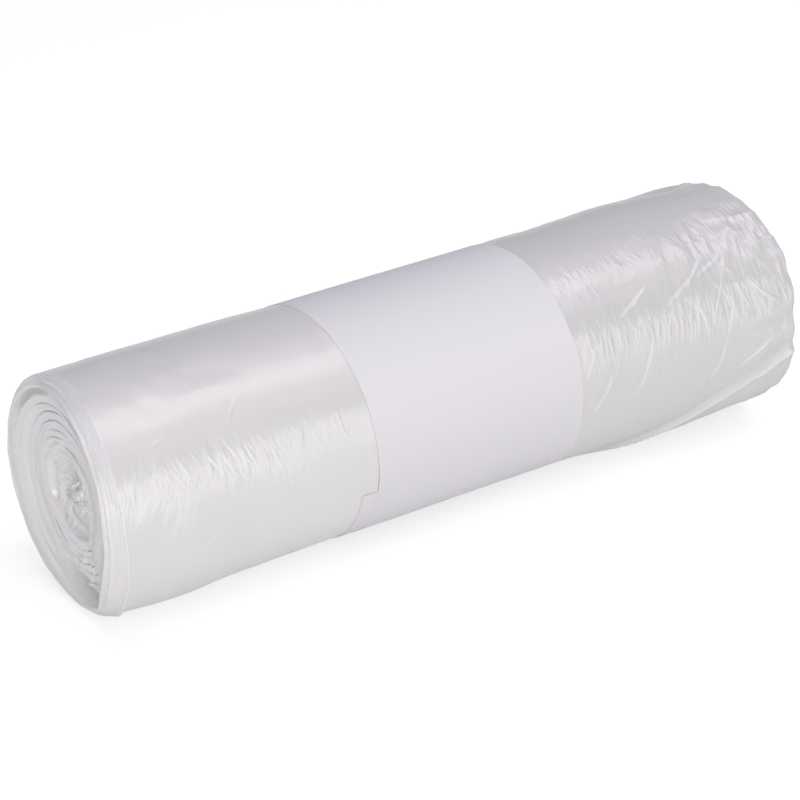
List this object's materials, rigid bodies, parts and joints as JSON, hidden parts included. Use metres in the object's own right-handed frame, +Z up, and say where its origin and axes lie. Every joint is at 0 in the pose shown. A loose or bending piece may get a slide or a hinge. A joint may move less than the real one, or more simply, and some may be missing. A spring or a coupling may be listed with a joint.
{
  "type": "bin bag roll",
  "caption": "Roll of translucent film bin bags wound without a core, lying on its side and held by a plain wrapped paper band.",
  "frame": {"origin": "below the middle of the roll's length, on the surface that it lies on", "axes": "+X along the roll, away from the end that shows its stepped turns; +Z up; -Y towards the side where the paper band's seam shows"},
  "size_m": [0.26, 0.0784, 0.0779],
  "materials": {
    "film": "translucent natural polyethylene film in many layers, glossy and finely crinkled",
    "paper": "plain uncoated white paper, matte"
  },
  "bodies": {
    "root": {"film_roll": "film", "paper_band": "paper"}
  },
  "joints": []
}
